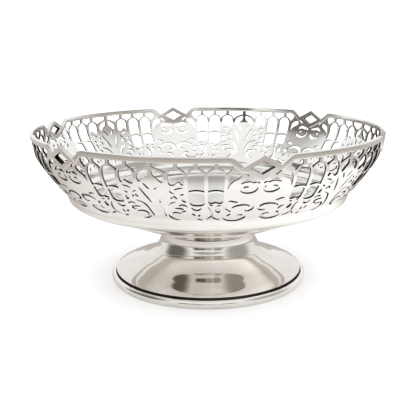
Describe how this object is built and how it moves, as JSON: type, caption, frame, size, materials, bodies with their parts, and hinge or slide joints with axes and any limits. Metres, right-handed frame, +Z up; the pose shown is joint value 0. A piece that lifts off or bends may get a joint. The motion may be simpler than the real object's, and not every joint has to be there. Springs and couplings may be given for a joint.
{
  "type": "pierced pedestal bowl",
  "caption": "Round pierced silver bowl on a low spun pedestal foot, with an arcaded openwork wall, a flat rim and open lozenges set round the rim.",
  "frame": {"origin": "middle of the foot, on the surface that the bowl stands on", "axes": "+Z up along the bowl's axis; -Y is the front, with one lozenge 14.5 degrees to the right of it"},
  "size_m": [0.24, 0.24, 0.1072],
  "materials": {
    "silver_bowl": "mirror polished silver sheet with fine hand polishing marks and faint tarnish in the sawn edges",
    "silver_rim": "polished silver strip, softly worn corners",
    "silver_lozenge": "polished cast silver, softly worn corners, darker in the opening",
    "silver_foot": "mirror polished spun silver with faint turning lines",
    "silver_ring": "polished silver wire moulding, tarnish in the groove beside it"
  },
  "bodies": {
    "root": {"bowl": "silver_bowl", "rim_rail_1": "silver_rim", "rim_rail_2": "silver_rim", "rim_rail_3": "silver_rim", "rim_rail_4": "silver_rim", "rim_rail_5": "silver_rim", "rim_rail_6": "silver_rim", "rim_lozenge_1": "silver_lozenge", "rim_lozenge_2": "silver_lozenge", "rim_lozenge_3": "silver_lozenge", "rim_lozenge_4": "silver_lozenge", "rim_lozenge_5": "silver_lozenge", "rim_lozenge_6": "silver_lozenge", "foot": "silver_foot", "foot_ring": "silver_ring"}
  },
  "joints": []
}
